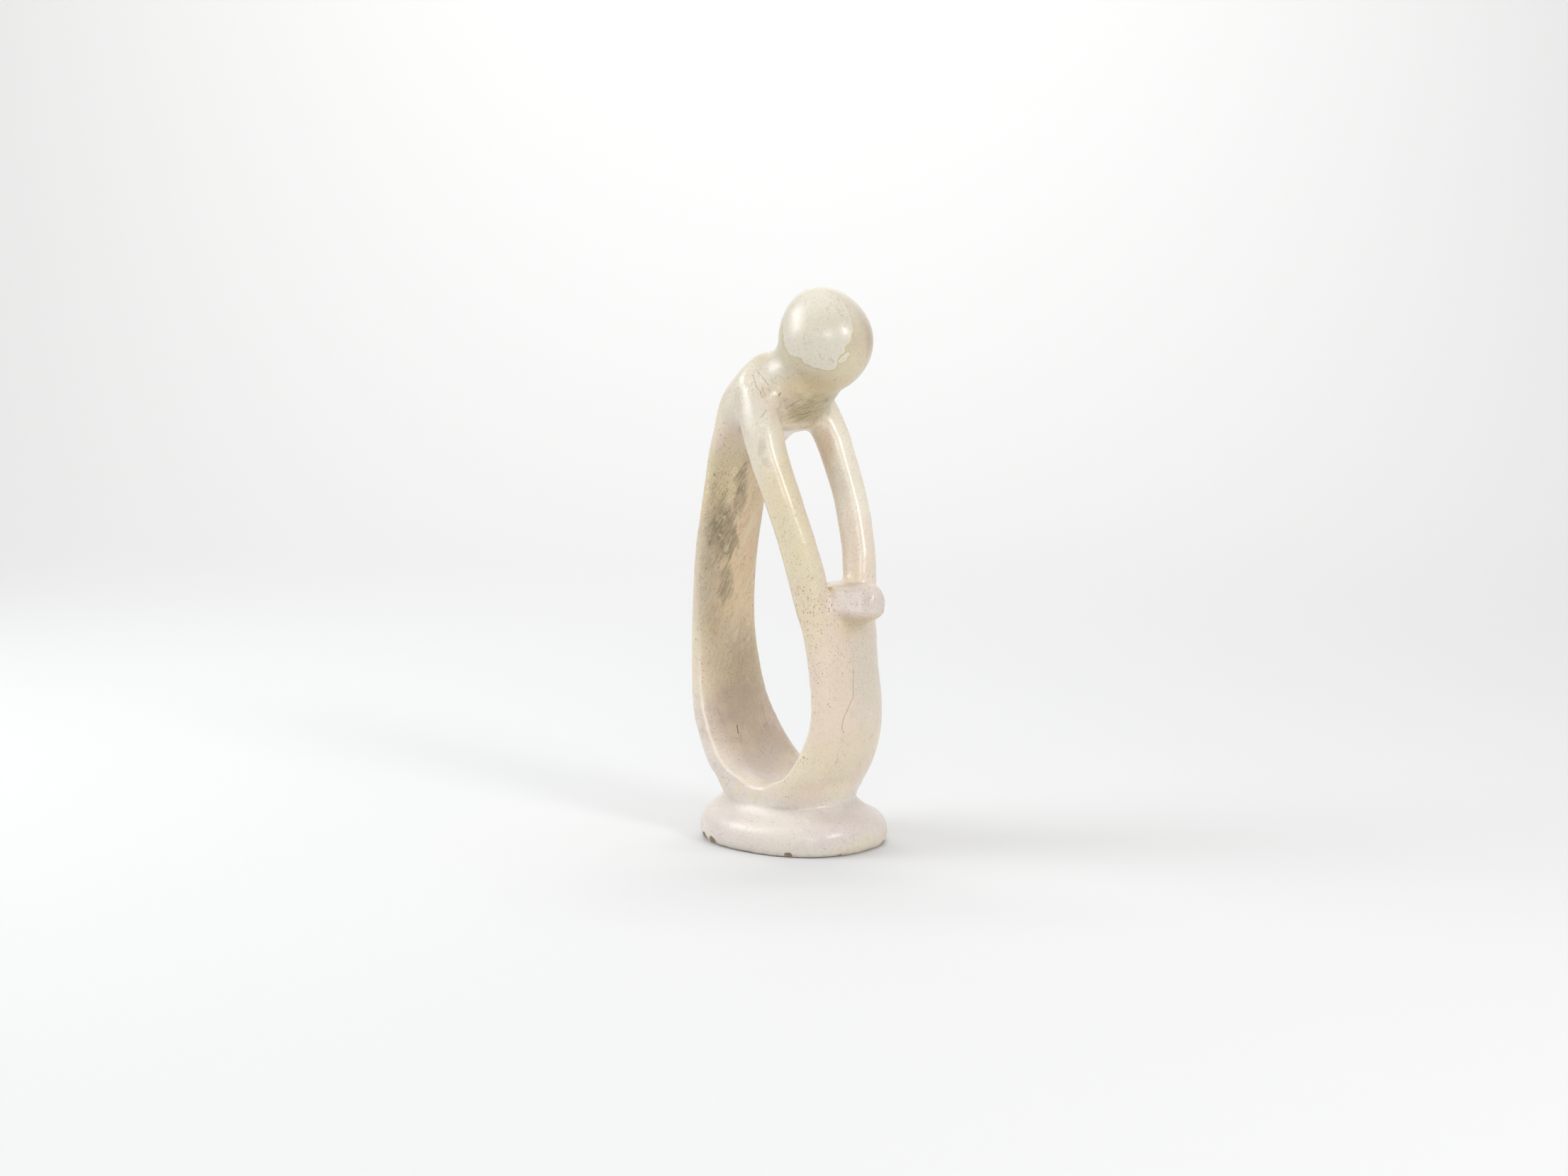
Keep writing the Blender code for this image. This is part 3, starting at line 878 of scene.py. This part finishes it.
colour = soapstone.mix(broad.ramp(0.36, 0.64), CREAM, SHELL_PINK)
colour = soapstone.mix(middle.ramp(0.54, 0.72) * 0.4, colour, ROSE)
colour = soapstone.mix(middle.ramp(0.46, 0.28) * 0.35, colour, YELLOW_CREAM)
colour = cloud(colour, [
    (SHELL_PINK, 0.65, (-6, -36, 92), (26, 14, 30)),
    (SHELL_PINK, 0.65, (-14, -34, 66), (20, 14, 26)),
    (DOVE_GREY, 0.55, (8, -38, 80), (13, 10, 30)),
    (YELLOW_CREAM, 0.4, (-2, -34, 45), (28, 14, 11)),
    (YELLOW_CREAM, 0.75, (-30, -17, 152), (12, 20, 38)),
    (YELLOW_CREAM, 0.55, (-25, -26, 108), (9, 14, 14)),
    (CREAM, 0.7, (-28, 0, 30), (12, 34, 8)),
    # Ivory over the far arm: partly its pale tone, partly painted light that brightens a side facing
    # away from the lamps.
    (IVORY, 0.9, (20, -16, 158), (13, 24, 50)),
    (SHELL_PINK, 0.5, (18, -26, 133), (10, 12, 16)),
    (MAUVE_WHITE, 0.85, (-5, -42, 113), (14, 12, 8)),
    (MAUVE, 0.75, (-3, -30, 120.0), (11, 12, 1.7)),
    (OCHRE, 0.55, (0, -42, 101), (14, 14, 5.5)),
    (PEACH, 0.6, (16.0, -5, 177), (3.0, 6, 12)),
    (DOVE_GREY, 0.2, (19, -16, 163), (6, 6, 6)),
    # Ivory on the near upper arm: partly its pale tone, partly a painted highlight where the left
    # window shines.
    (IVORY, 0.6, (-31, -9, 184), (5, 9, 16)),
    (PLINTH_WHITE, 0.6, (-27, 30, 50), (9, 18, 26)),
    (SHELL_PINK, 0.6, (-25, -12, 25), (14, 20, 6)),
    (OCHRE, 0.35, (24, 38, 100), (14, 10, 40)),
    (DOVE_GREY, 0.5, (20, 46, 150), (16, 14, 26)),
    (ROSE, 0.35, (-4, 50, 105), (16, 10, 30)),
])
colour = soapstone.mix((stone_height + rag * 6).ramp(29, 19) * 0.9, colour, PLINTH_WHITE)
colour = cloud(colour, [
    (MAUVE_WHITE, 0.9, (-16, -36, 12), (17, 12, 9)),
    (MAUVE_WHITE, 0.7, (10, -38, 14), (18, 12, 9)),
    (MAUVE_WHITE, 0.6, (-32, 16, 14), (10, 14, 8)),
    (MAUVE_WHITE, 0.6, (22, 30, 12), (18, 16, 8)),
    (CREAM, 0.5, (0, -44, 3), (30, 8, 5)),
])
print(len(soapstone.tree.nodes), "nodes paint the broad clouds")

# %% The head and the shoulders
head = soapstone.patch((0, -18, 227), (31, 31, 30), rag * 0.3, 0.3)
colour = soapstone.mix(head * 0.85, colour, OLIVE_GREY)
colour = cloud(colour, [
    (DOVE_GREY, 0.65, (-24, 8, 204), (16, 18, 20)),
    (DOVE_GREY, 0.3, (-31, -5, 184), (6, 10, 15)),
    (DOVE_GREY, 0.5, (16, 12, 206), (20, 18, 18)),
    (YELLOW_CREAM, 0.5, (2, -36, 212), (14, 12, 10)),
    (OCHRE, 0.55, (-8, -20, 204.5), (22, 17, 6)),
    (DOVE_GREY, 0.45, (-16, -3, 213), (6, 6, 7)),
    (ROSE, 0.25, (4, -36, 228), (9, 9, 15)),
    (SMOKE, 0.28, (5, -39, 227), (3.5, 4, 7)),
    (SMOKE, 0.22, (1, -37, 237), (3, 4, 7)),
    (SMOKE, 0.25, (-32.4, -8, 180), (4, 1.8, 4)),
    (SMOKE, 0.20, (-32.0, -10, 173.5), (4, 1.6, 2)),
    (DOVE_GREY, 0.55, (0, -14, 249), (26, 24, 16)),
    (ROSE, 0.20, (12, -34, 232), (10, 10, 16)),
])
colour = soapstone.mix(head * (stone_height + rag * 3).ramp(227, 240) * 0.45, colour, PALE_LAYER)
colour = soapstone.mix(soapstone.attribute("layer") * 0.75, colour, PALE_LAYER)

HEAD_TURN = (0.5, 0.3, 0)
head_marks = soapstone.clouds(1.1, detail=5, stretch=(1, 1, 2.6), turn=HEAD_TURN, seed=61, swirl=1.2)
head_marks = head_marks.ramp(0.53, 0.68) * soapstone.patch((-8, -30, 239), (6, 10, 10), rag, 0.5)
colour = soapstone.mix(head_marks * 0.45, colour, SMOKE)

CHEST_TURN = turn_to((0.73, -0.60, 0.35))
# The olive over the chest is partly its olive-brown strokes and partly painted shade, where the chest
# lies under the head.
chest = soapstone.patch((0, -13, 196.0), (18, 13, 8.5), rag * 0.6, 0.45)
chest_strokes = soapstone.clouds(1.1, detail=5, stretch=(1, 1, 6), turn=CHEST_TURN, seed=71, swirl=0.4)
colour = soapstone.mix(chest * (0.68 + chest_strokes.ramp(0.40, 0.62) * 0.3), colour, OLIVE)
colour = soapstone.mix(chest * (0.22 + chest_strokes.ramp(0.48, 0.64) * 0.34), colour, STROKE)

SHOULDER_TURN = turn_to((-0.25, -0.60, -0.75))
rubbed = soapstone.patch((-22, 3, 208), (7, 9, 9), rag * 0.7, 0.5)
shoulder_strokes = soapstone.clouds(1.0, 5, (1, 1, 5), turn=SHOULDER_TURN, seed=81, swirl=1.0)
colour = soapstone.mix(rubbed * shoulder_strokes.ramp(0.55, 0.66) * 0.40, colour, STROKE)
print(len(soapstone.tree.nodes), "nodes with the head and the shoulders")

# %% The inner face of the back
STREAK_TURN = turn_to((0.49, -0.15, 0.86))
back = soapstone.patch((0, 31, 126), (31, 13, 70), rag * 0.15, 0.25)
flames = soapstone.clouds(5.0, detail=4, stretch=(1, 1, 5.0), turn=STREAK_TURN, seed=2, swirl=0.5)
tongues = soapstone.clouds(2.6, detail=5, stretch=(1, 1, 3.6), turn=STREAK_TURN, seed=14, swirl=0.9)
hairs = soapstone.clouds(1.4, detail=4, stretch=(1, 1, 6), turn=STREAK_TURN, seed=8)
scales = soapstone.clouds(1.6, detail=4, stretch=(1, 1, 1.9), turn=STREAK_TURN, seed=17, swirl=1.4)
torn = rag * 0.6 + (flames - 0.5) * 3.0 + (hairs - 0.5) * 0.8


def smoke_at(centre, radii, edge):
    return soapstone.patch(centre, radii, torn, edge)


smoke = smoke_at((-3, 28, 157), (4.6, 12, 13), 0.5)
smoke = smoke.either(smoke_at((-10, 32, 141), (7.5, 12, 13), 0.5))
smoke = smoke.either(smoke_at((-3.5, 33, 136), (4.5, 12, 8), 0.2))
smoke = smoke.either(smoke_at((-5, 35.5, 116), (4.5, 12, 9), 0.3) * 0.8)
left_veil = smoke_at((-20, 38, 118), (8, 12, 26), 0.35)
colour = soapstone.mix(back * 0.62, colour, OCHRE)
colour = soapstone.mix(back * tongues.ramp(0.50, 0.56) * 0.35, colour, DOVE_GREY)
colour = cloud(colour, [
    (OLIVE, 0.35, (-10, 22, 178), (9, 12, 10)),
    (YELLOW_CREAM, 0.65, (-18, 27, 170), (9, 13, 16)),
    (CREAM, 0.5, (-15, 36, 80), (14, 10, 14)),
    (MAUVE, 0.45, (7, 35, 84), (9, 9, 18)),
])
pink_flames = back * flames.ramp(0.44, 0.60) * soapstone.patch((9, 33, 136), (14, 14, 40), rag, 0.5)
colour = soapstone.mix(pink_flames * 0.6, colour, PEACH)
colour = soapstone.mix(back * left_veil * 0.45, colour, DOVE_GREY)
colour = soapstone.mix(back * smoke * (0.55 + tongues.ramp(0.42, 0.58) * 0.32), colour, SMOKE)
colour = soapstone.mix(back * smoke * flames.ramp(0.50, 0.60) * 0.35, colour, STROKE)
slivers = tongues.ramp(0.60, 0.635).either(hairs.ramp(0.62, 0.70) * 0.6)
colour = soapstone.mix(back * slivers * 0.50, colour, YELLOW_CREAM)
outlines = abs(tongues - 0.53).ramp(0.020, 0.006)
outlines = outlines.either(abs(flames - 0.50).ramp(0.012, 0.003) * 0.8)
colour = soapstone.mix(back * outlines * 0.30, colour, STROKE)
colour = cloud(colour, [
    (MAUVE, 0.50, (2, 30, 58), (26, 12, 12)),
    (MAUVE, 0.50, (10, 20, 41), (18, 14, 8)),
    (MAUVE_WHITE, 0.75, (-9, 12, 33), (22, 24, 8)),
    (MAUVE, 0.35, (-18, 27, 50), (9, 8, 9)),
])
print(len(soapstone.tree.nodes), "nodes with the smoke")

# %% [markdown]
# Over the clouds lie the small things: a fine grain, wavy hairlines along one level of a noise, a net
# of small scales, rust-brown flecks, the dirt in pits and cracks, a painted highlight along the pale
# layer's edge with a painted shadow just below it, and along the rims a pale line that is partly wear
# and partly a painted highlight.

# %% Grain, hairlines and flecks
contour = soapstone.clouds(10, detail=3, seed=21, swirl=1.6)
hairline = abs(contour - 0.5).ramp(0.012, 0.003)
hairline = hairline * soapstone.clouds(8, detail=2, seed=31).ramp(0.48, 0.60)
colour = soapstone.mix(hairline * 0.22, colour, INK_GREY)

scaly = soapstone.patch((-16, 28, 168), (16, 16, 26), rag, 0.5)
scaly = scaly.either(soapstone.clouds(16, detail=2, seed=44).ramp(0.5, 0.7))
scaly = scaly.either(soapstone.patch((-22, -28, 106), (12, 14, 22), rag, 0.5) * 0.6) * (1 - head)
colour = soapstone.mix(scaly * abs(scales - 0.5).ramp(0.035, 0.008) * 0.20, colour, SMOKE)
colour = soapstone.mix(scaly * scales.ramp(0.56, 0.66) * 0.25, colour, IVORY)

grit = soapstone.clouds(0.55, detail=2, seed=52)
colour = soapstone.mix(grain.ramp(0.48, 0.72) * 0.12, colour, SMOKE)
colour = soapstone.mix(grain.ramp(0.48, 0.25) * 0.14, colour, PLINTH_WHITE)
colour = soapstone.mix(grit.ramp(0.50, 0.72) * 0.14, colour, SMOKE)

# Each fleck is the middle of a cell of a Voronoi pattern, and a cell's own colour says if it has one
FLECK_TURN = (math.radians(20), math.radians(-25), 0)
moved = {"Vector": soapstone.place, "Rotation": FLECK_TURN, "Scale": (1.0, 1.0, 2.2)}
fleck_place = soapstone.add("ShaderNodeMapping", {"vector_type": "TEXTURE"}, moved).outputs[0]
spacing = {"Vector": fleck_place, "Scale": 0.95}
cells = soapstone.add("ShaderNodeTexVoronoi", {"feature": "F1"}, spacing)
cell_colour = soapstone.add("ShaderNodeSeparateColor", None, {0: cells.outputs["Color"]})
fleck_chance = Value(soapstone, cell_colour.outputs[0]).ramp(0.38, 0.43)
fleck_size = Value(soapstone, cells.outputs["Distance"]) + (grit - 0.5) * 0.4
speckled = soapstone.patch((-14, -32, 104), (26, 18, 28), rag, 0.6)
speckled = speckled.either(soapstone.patch((-16, 30, 165), (16, 14, 24), rag, 0.6))
speckled = speckled.either(soapstone.clouds(14, detail=1, seed=40).ramp(0.50, 0.66) * 0.8)
flecks = fleck_size.ramp(0.20, 0.12) * fleck_chance * speckled
colour = soapstone.mix(flecks * 0.90, colour, RUST)
colour = soapstone.mix(soapstone.attribute("pit") * 0.80, colour, RUST)
colour = soapstone.mix(soapstone.attribute("mark"), colour, INK_GREY)
# Painted shadow just below the pale layer's edge, then a painted highlight along the edge.
colour = soapstone.mix(soapstone.attribute("painted_shadow_under_lip") * 0.40, colour, OLIVE)
colour = soapstone.mix(soapstone.attribute("lip") * 0.45, colour, IVORY)
# The pale line on the rim's crest: partly wear, partly a painted highlight.
colour = soapstone.mix(soapstone.attribute("rim_wear_and_highlight") * 0.75, colour, IVORY)
colour = soapstone.mix(soapstone.attribute("broken") * 0.85, colour, BROKEN_BROWN)
soapstone.feed(soapstone.shader.inputs["Base Color"], colour)
print(len(soapstone.tree.nodes), "nodes with the small things")

# %% [markdown]
# The carver waxed the stone and rubbed it to a gloss. The wax is a clear coat over a softer shine. It
# is thin on the inner faces and under the chest, which a polishing cloth hardly reaches, a little
# thinner on the foot, and absent where stone broke off.

# %% Polish and fine relief
COAT_ROUGHNESS = 0.25
RELIEF_DEPTH = 0.05 * MM
unbroken = 1 - soapstone.attribute("broken")
bowl = soapstone.patch((0, 5, 50), (24, 30, 26), None, 0.2)
under_chest = soapstone.patch((-16, -8, 186), (10, 8, 8), None, 0.3)
hidden = back.either(bowl).either(under_chest)
foot = stone_height.ramp(24, 17)
polish = (1 - hidden * 0.65) * (1 - foot * 0.3) * unbroken * (1 - soapstone.attribute("pit") * 0.7)
soapstone.feed(soapstone.shader.inputs["Coat Weight"], polish * 0.75)
soapstone.shader.inputs["Coat Roughness"].default_value = COAT_ROUGHNESS
roughness = 0.34 + grain * 0.10 + back * 0.08 + foot * 0.08 + under_chest * 0.35
roughness = roughness + soapstone.attribute("broken") * 0.35
soapstone.feed(soapstone.shader.inputs["Roughness"], roughness)
relief = grain * 0.5 + grit * 0.3 - flecks * 0.8 - hairline * 0.3
heights = {"Strength": 0.25, "Distance": RELIEF_DEPTH, "Height": relief}
bump = soapstone.add("ShaderNodeBump", None, heights)
soapstone.feed(soapstone.shader.inputs["Normal"], bump.outputs[0])
skin.materials.clear()
skin.materials.append(soapstone.material)
print("the soapstone has", len(soapstone.tree.nodes), "nodes")

# %% [markdown]
# The photograph was taken in a white studio sweep: the floor curves up behind the figure and is lit
# until it is almost white. The floor is one strip whose fold is bevelled to a wide curve.

# %% The floor
SWEEP_WIDTH = 14.0
SWEEP_FRONT = 5.0
SWEEP_BACK = 3.6
SWEEP_HEIGHT = 6.0
SWEEP_CURVE = 2.2
CURVE_STEPS = 32

sweep = bmesh.new()
for vert in bmesh.ops.create_grid(sweep, x_segments=1, y_segments=1, size=0.5)["verts"]:
    vert.co.x *= SWEEP_WIDTH
    vert.co.y = SWEEP_BACK if vert.co.y > 0 else -SWEEP_FRONT
back_edge = [edge for edge in sweep.edges if all(vert.co.y > 0 for vert in edge.verts)]
raised = bmesh.ops.extrude_edge_only(sweep, edges=back_edge)["geom"]
top = [item for item in raised if isinstance(item, bmesh.types.BMVert)]
bmesh.ops.translate(sweep, verts=top, vec=(0, 0, SWEEP_HEIGHT))
fold = [edge for edge in sweep.edges if len(edge.link_faces) == 2]
round_fold = {"offset": SWEEP_CURVE, "segments": CURVE_STEPS, "profile": 0.5}
bmesh.ops.bevel(sweep, geom=fold, affect="EDGES", material=-1, **round_fold)
turned = Matrix.Rotation(-HEADING, 3, "Z")
bmesh.ops.rotate(sweep, verts=sweep.verts, cent=(0, 0, 0), matrix=turned)
bmesh.ops.recalc_face_normals(sweep, faces=sweep.faces)
sweep_mesh = bpy.data.meshes.new("studio_sweep")
sweep.to_mesh(sweep_mesh)
sweep.free()
sweep_mesh.shade_smooth()
studio = bpy.data.objects.new("studio_sweep", sweep_mesh)
bpy.context.scene.collection.objects.link(studio)
paper = Finish("studio_paper")
paper.shader.inputs["Base Color"].default_value = PAPER
paper.shader.inputs["Roughness"].default_value = 0.9
sweep_mesh.materials.append(paper.material)
print("the sweep has", len(sweep_mesh.polygons), "faces")

# %% [markdown]
# Three soft windows light the figure. Their highlights show where they stand: a tall one on the left
# of the head, a small bright one right of its middle and a faint one beside it. The tall one fades
# away at its edges, so it is a bright pane in front of a wide dim screen, and its light is slightly
# cool. A broad lamp overhead and the white sky of the studio fill the shadows, and one lamp lights
# the sweep behind.

# %% The light
LAMPS = {
    # name: place, way of its long side, size across and along, watts, whether it shows in the polish
    "left_window": ((-0.62, 0.78, 0.82), (0.68, 0.16, 0.59), (0.36, 0.62), 2.9, True),
    "left_screen": ((-0.63, 0.79, 0.83), (0.68, 0.16, 0.59), (0.80, 1.05), 4.6, True),
    "right_window": ((-0.16, -1.06, 0.68), (0, 0, 1), (0.26, 0.34), 4.4, True),
    "front_window": ((-0.86, -0.70, 0.53), (0, 0, 1), (0.36, 0.26), 1.7, True),
    "overhead": ((0.10, 0.05, 1.75), (0, 1, 0), (1.6, 1.6), 8.0, False),
    "backdrop": ((1.2, 1.0, 3.2), (-0.6, 0.8, 0), (1.0, 3.0), 98.0, False),
}
COOL_WHITE = (0.93, 0.965, 1.0)
PURE_WHITE = (1, 1, 1)
SKY_WHITE = (0.98, 0.985, 0.99, 1)
SKY_STRENGTH = 0.53
LIT_PLACE = Vector((0, 0, 0.15))
BACKDROP_PLACE = Vector((2.9, 2.3, 0.9))

for name, (place, long_way, (across, along_it), watts, shows) in LAMPS.items():
    lamp = bpy.data.lights.new(name, "AREA")
    lamp.shape = "RECTANGLE"
    lamp.size = across
    lamp.size_y = along_it
    lamp.energy = watts
    lamp.color = COOL_WHITE if name.startswith("left") else PURE_WHITE
    light = bpy.data.objects.new(name, lamp)
    bpy.context.scene.collection.objects.link(light)
    target = BACKDROP_PLACE if name == "backdrop" else LIT_PLACE
    back_way = (Vector(place) - target).normalized()
    cross_way = Vector(long_way).cross(back_way).normalized()
    axes = Matrix((cross_way, back_way.cross(cross_way), back_way)).transposed()
    light.matrix_world = Matrix.Translation(place) @ axes.to_4x4()
    light.visible_camera = False
    light.visible_glossy = shows

world = bpy.data.worlds.new("studio")
bpy.context.scene.world = world
world.use_nodes = True
sky = world.node_tree.nodes["Background"]
sky.inputs["Color"].default_value = SKY_WHITE
sky.inputs["Strength"].default_value = SKY_STRENGTH
bpy.context.scene.view_settings.view_transform = "Standard"
print(len(LAMPS), "lamps")
